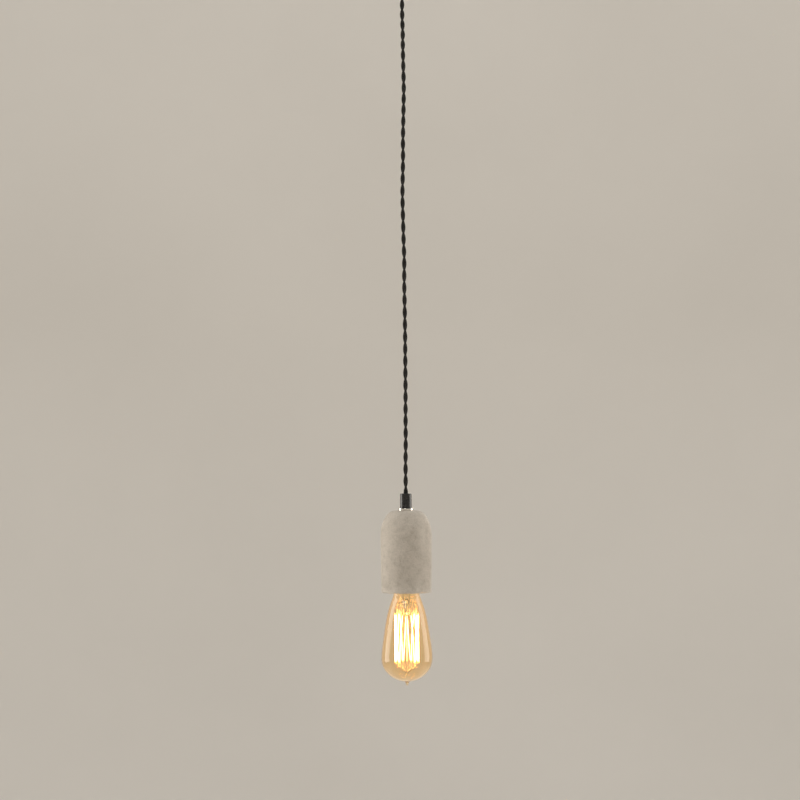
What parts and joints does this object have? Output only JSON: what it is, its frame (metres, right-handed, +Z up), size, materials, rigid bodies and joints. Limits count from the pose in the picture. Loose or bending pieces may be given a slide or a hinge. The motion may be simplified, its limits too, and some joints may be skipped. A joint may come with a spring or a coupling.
{
  "type": "pendant ceiling light",
  "caption": "Ceiling light: a ceiling canopy, a black twisted textile cord and a cast concrete cup holding a screw-in filament bulb with an amber glass.",
  "frame": {"origin": "centre of the bracket's face that meets the ceiling; the light hangs below it", "axes": "+Z up, along the cord towards the ceiling; +X to the right as seen from the front (-Y) side"},
  "size_m": [0.1046, 0.1, 0.939],
  "materials": {
    "black_moulding": "satin black moulded plastic",
    "zinc_steel": "zinc-plated steel",
    "black_metal": "satin black turned metal",
    "polished_metal": "polished",
    "screw_steel": "blackened steel",
    "cord_textile": "black braided textile over two twisted strands",
    "terminal_nylon": "natural nylon",
    "brass": "plain brass",
    "wire_insulation": "insulated cores",
    "concrete": "cast concrete, matt, fine pores",
    "bakelite": "dark phenolic moulding",
    "porcelain": "white technical porcelain",
    "cap_brass": "rolled brass sheet",
    "cap_glass_black": "black insulating glass",
    "solder": "solder",
    "amber_glass": "clear glass with an amber tint",
    "clear_glass": "clear lead glass",
    "support_wire": "drawn wire",
    "filament_glow": "glowing filament"
  },
  "bodies": {
    "ceiling_fitting": {"ceiling_bracket": "zinc_steel", "canopy": "black_moulding", "canopy_screws": "zinc_steel", "upper_washer": "polished_metal", "upper_grip": "black_metal", "upper_grip_screw": "screw_steel", "upper_nipple": "zinc_steel", "upper_locknut": "zinc_steel", "terminal_block": "terminal_nylon", "terminal_block_clamps": "brass", "terminal_block_screws": "zinc_steel", "supply_cores": "wire_insulation", "cord_upper": "cord_textile"},
    "cord_top": {"cord_swing_link": "cord_textile"},
    "cord": {"cord_main": "cord_textile"},
    "cord_foot": {"cord_end_link": "cord_textile"},
    "lamp": {"cord_lower": "cord_textile", "lower_grip": "black_metal", "lower_grip_screw": "screw_steel", "flange_washer": "polished_metal", "lamp_nipple": "zinc_steel", "lamp_locknut": "zinc_steel", "concrete_cup": "concrete", "holder_cap": "bakelite", "holder_skirt": "bakelite", "holder_insert": "porcelain", "holder_shell": "cap_brass", "side_contact": "brass", "contact_rivet": "brass", "holder_terminals": "brass", "holder_terminal_screws": "zinc_steel", "lamp_cores": "wire_insulation"},
    "tongue": {"centre_contact": "brass"},
    "bulb_collar": {"cap_insulator": "cap_glass_black"},
    "bulb": {"bulb_cap": "cap_brass", "cap_contact": "solder", "bulb_glass": "amber_glass", "bulb_stem": "clear_glass", "centre_rod": "clear_glass", "upper_button": "clear_glass", "lower_button": "clear_glass", "lead_wires": "support_wire", "upper_supports": "support_wire", "lower_supports": "support_wire", "filament": "filament_glow"}
  },
  "joints": [
    {"name": "swing_front_back", "type": "hinge", "parent": "ceiling_fitting", "child": "cord_top", "pos_m": [0, 0, -0.072], "axis": [1, 0, 0], "range_deg": [-25, 25]},
    {"name": "swing_side", "type": "hinge", "parent": "cord_top", "child": "cord", "pos_m": [0, 0, -0.105], "axis": [0, 1, 0], "range_deg": [-25, 25]},
    {"name": "cord_twist", "type": "hinge", "parent": "cord", "child": "cord_foot", "pos_m": [0, 0, -0.66], "axis": [0, 0, 1], "range_deg": [-180, 180]},
    {"name": "lamp_tilt", "type": "hinge", "parent": "cord_foot", "child": "lamp", "pos_m": [0, 0, -0.69], "axis": [0, 1, 0], "range_deg": [-20, 20]},
    {"name": "contact_spring", "type": "hinge", "parent": "lamp", "child": "tongue", "pos_m": [0.0086, 0, -0.7875], "axis": [0, 1, 0], "range_deg": [0, 5], "stiffness_Nm_per_rad": 0.02},
    {"name": "bulb_travel", "type": "slide", "parent": "lamp", "child": "bulb_collar", "axis": [0, 0, 1], "range_m": [-0.01453, 0]},
    {"name": "bulb_screw", "type": "hinge", "parent": "bulb_collar", "child": "bulb", "pos_m": [0, 0, -0.8], "axis": [0, 0, 1], "range_deg": [-1440, 0]}
  ],
  "couplings": [
    {"joint": "bulb_travel", "follows": "bulb_screw", "m_per_rad": 0.00057757}
  ]
}
